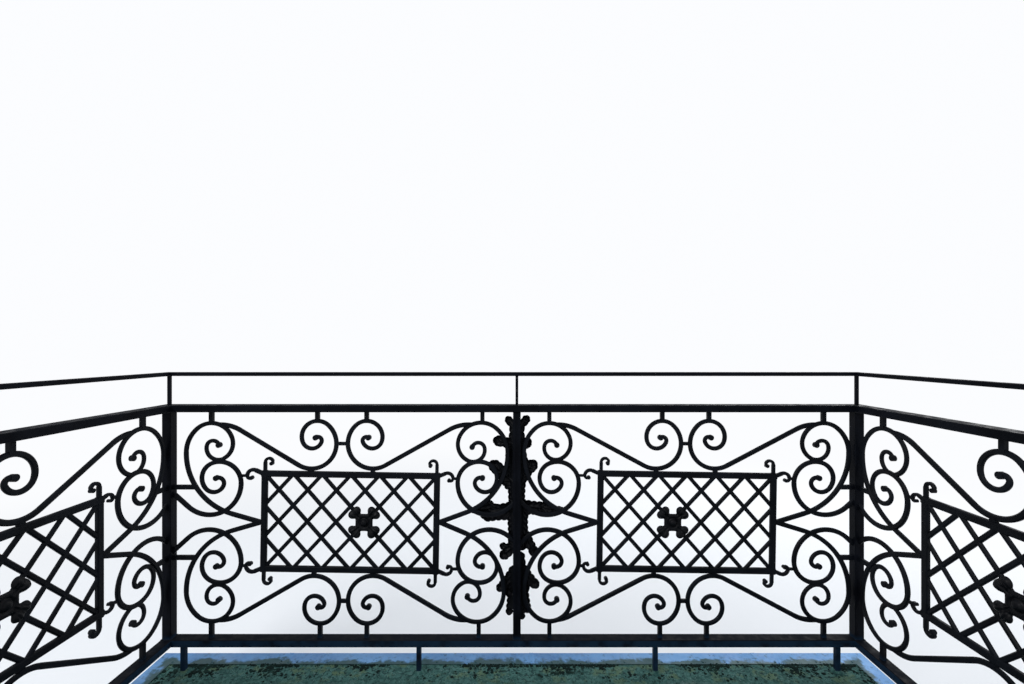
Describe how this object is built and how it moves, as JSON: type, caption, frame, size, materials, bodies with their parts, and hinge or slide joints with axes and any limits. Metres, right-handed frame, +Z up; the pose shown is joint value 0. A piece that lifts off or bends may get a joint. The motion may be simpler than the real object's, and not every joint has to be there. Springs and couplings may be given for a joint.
{
  "type": "balcony",
  "caption": "Balcony with a concrete floor slab and a three-sided forged iron railing of scrolls around diagonal lattice panels.",
  "frame": {"origin": "The middle of the floor slab's wall face. The floor's walking surface is 75 mm above it.", "axes": "+Z up, +Y away from the house wall, +X to the right of a person who stands in the doorway and looks out."},
  "size_m": [2.703, 1.3115, 1.25],
  "materials": {
    "concrete": "rough, mossy",
    "zinc_sheet": "dull, weathered",
    "rail_iron": "satin black paint",
    "scroll_iron": "satin black paint",
    "leaf_iron": "satin black paint"
  },
  "bodies": {
    "root": {"floor_slab": "concrete", "front_flashing": "zinc_sheet", "left_flashing": "zinc_sheet", "right_flashing": "zinc_sheet", "left_corner_post": "rail_iron", "right_corner_post": "rail_iron", "centre_post": "rail_iron", "left_wall_post": "rail_iron", "right_wall_post": "rail_iron", "front_bottom_rail": "rail_iron", "left_bottom_rail": "rail_iron", "right_bottom_rail": "rail_iron", "front_top_rail": "rail_iron", "left_top_rail": "rail_iron", "right_top_rail": "rail_iron", "front_hand_bar": "rail_iron", "left_hand_bar": "rail_iron", "right_hand_bar": "rail_iron", "hand_bar_uprights": "rail_iron", "rail_feet": "rail_iron", "rosettes": "leaf_iron", "left_acanthus": "leaf_iron", "right_acanthus": "leaf_iron", "front_left_lattice": "scroll_iron", "front_left_upper_scrolls": "scroll_iron", "front_left_lower_scrolls": "scroll_iron", "front_left_west_volutes": "scroll_iron", "front_left_east_volutes": "scroll_iron", "front_right_lattice": "scroll_iron", "front_right_upper_scrolls": "scroll_iron", "front_right_lower_scrolls": "scroll_iron", "front_right_west_volutes": "scroll_iron", "front_right_east_volutes": "scroll_iron", "left_side_lattice": "scroll_iron", "left_side_upper_scrolls": "scroll_iron", "left_side_lower_scrolls": "scroll_iron", "left_side_wall_volutes": "scroll_iron", "left_side_corner_volutes": "scroll_iron", "right_side_lattice": "scroll_iron", "right_side_upper_scrolls": "scroll_iron", "right_side_lower_scrolls": "scroll_iron", "right_side_corner_volutes": "scroll_iron", "right_side_wall_volutes": "scroll_iron"}
  },
  "joints": []
}
